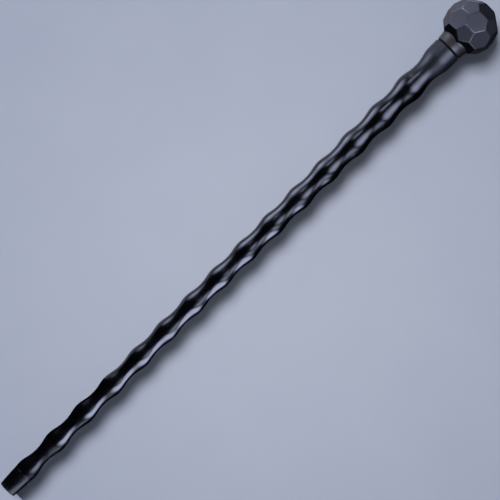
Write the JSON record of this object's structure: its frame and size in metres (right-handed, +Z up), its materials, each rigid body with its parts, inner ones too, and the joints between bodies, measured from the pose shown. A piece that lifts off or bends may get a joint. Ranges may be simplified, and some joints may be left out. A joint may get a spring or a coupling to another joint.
{
  "type": "walking cane",
  "caption": "Straight walking cane with a faceted ball head on a flared collar, a tapering rippled shaft and a tapered rubber foot.",
  "frame": {"origin": "middle of the foot's sole, on the ground, with the cane upright", "axes": "+Z up the shaft towards the head; -Y the side on which a five-sided facet sits low on the head; +X to its right"},
  "size_m": [0.076, 0.075, 0.9401],
  "materials": {
    "head_moulding": "matte dark grey, with edges worn paler",
    "shaft_moulding": "satin black",
    "foot_rubber": "dull black",
    "washer_rubber": "dull black",
    "stud_steel": "bright zinc-plated",
    "insert_brass": "turned"
  },
  "bodies": {
    "root": {"head": "head_moulding", "joint_washer": "washer_rubber", "shaft": "shaft_moulding", "foot": "foot_rubber", "stud": "stud_steel", "shaft_insert": "insert_brass", "head_insert": "insert_brass", "foot_disc": "stud_steel"}
  },
  "joints": []
}
